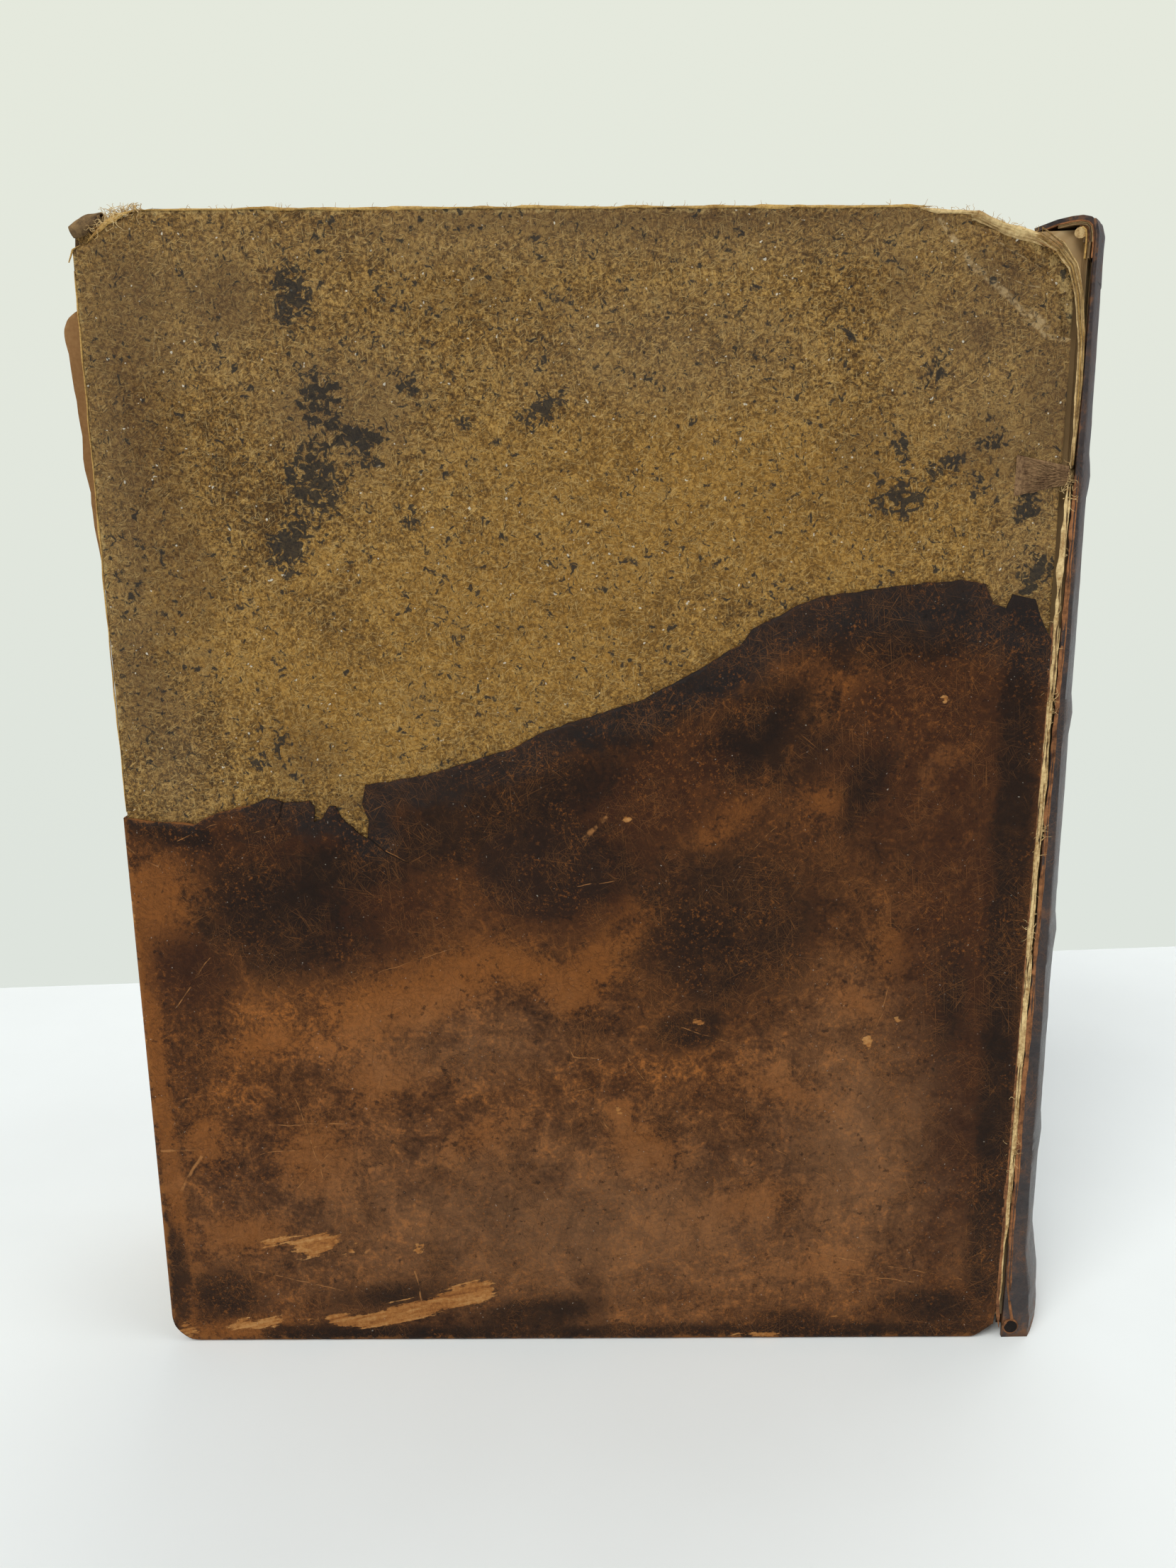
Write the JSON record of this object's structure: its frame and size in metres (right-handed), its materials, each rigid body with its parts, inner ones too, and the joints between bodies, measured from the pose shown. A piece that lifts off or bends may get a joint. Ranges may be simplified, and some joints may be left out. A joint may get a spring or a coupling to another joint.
{
  "type": "antique leather book",
  "caption": "Old calf-bound quarto book standing on its tail, both covers hinged at the spine, its back board's leather torn away above a slanting tear.",
  "frame": {"origin": "middle of the foot of the closed book's whole box", "axes": "+X towards the spine, -X towards the fore-edge, -Y out of the worn lower cover, +Y out of the upper cover, +Z from tail to head"},
  "size_m": [0.2419, 0.0624, 0.28],
  "materials": {
    "board_leather": "worn mottled calf, dark brown to orange brown, waxy sheen",
    "spine_leather": "near black calf, rubbed, with a dull sheen",
    "pasteboard": "felted rag pasteboard, tan, stained, matt",
    "page_paper": "aged rag paper, toned, uncut edges, matt",
    "browned_paper": "browned endpaper, matt",
    "lining_paper": "glued waste paper, matt",
    "hemp_cord": "twisted hemp cord, matt",
    "frayed_cord": "frayed and glued hemp, matt",
    "endband_thread": "soiled linen thread, matt"
  },
  "bodies": {
    "pages": {"text_block": "page_paper", "spine_leather": "spine_leather", "head_endband": "endband_thread", "tail_endband": "endband_thread", "lower_flyleaf": "browned_paper", "upper_flyleaf": "page_paper", "sewing_cord_1": "hemp_cord", "sewing_cord_2": "hemp_cord", "sewing_cord_3": "hemp_cord", "sewing_cord_4": "hemp_cord", "spine_lining_1": "lining_paper", "spine_lining_2": "lining_paper", "spine_lining_3": "lining_paper", "spine_lining_4": "lining_paper", "spine_lining_5": "lining_paper"},
    "lower_cover": {"lower_board": "pasteboard", "lower_board_leather": "board_leather", "lower_pastedown": "browned_paper", "lower_cord_slip_1": "frayed_cord", "lower_cord_slip_2": "frayed_cord", "lower_cord_slip_3": "frayed_cord", "lower_cord_slip_4": "frayed_cord"},
    "upper_cover": {"upper_board": "pasteboard", "upper_board_leather": "board_leather", "upper_pastedown": "browned_paper", "upper_cord_slip_1": "frayed_cord", "upper_cord_slip_2": "frayed_cord", "upper_cord_slip_3": "frayed_cord", "upper_cord_slip_4": "frayed_cord"}
  },
  "joints": [
    {"name": "lower_joint", "type": "hinge", "parent": "pages", "child": "lower_cover", "pos_m": [0.10304, -0.0312, 0.14], "axis": [0, 0, 1], "range_deg": [0, 180]},
    {"name": "upper_joint", "type": "hinge", "parent": "pages", "child": "upper_cover", "pos_m": [0.10304, 0.0312, 0.14], "axis": [0, 0, -1], "range_deg": [0, 180]}
  ]
}
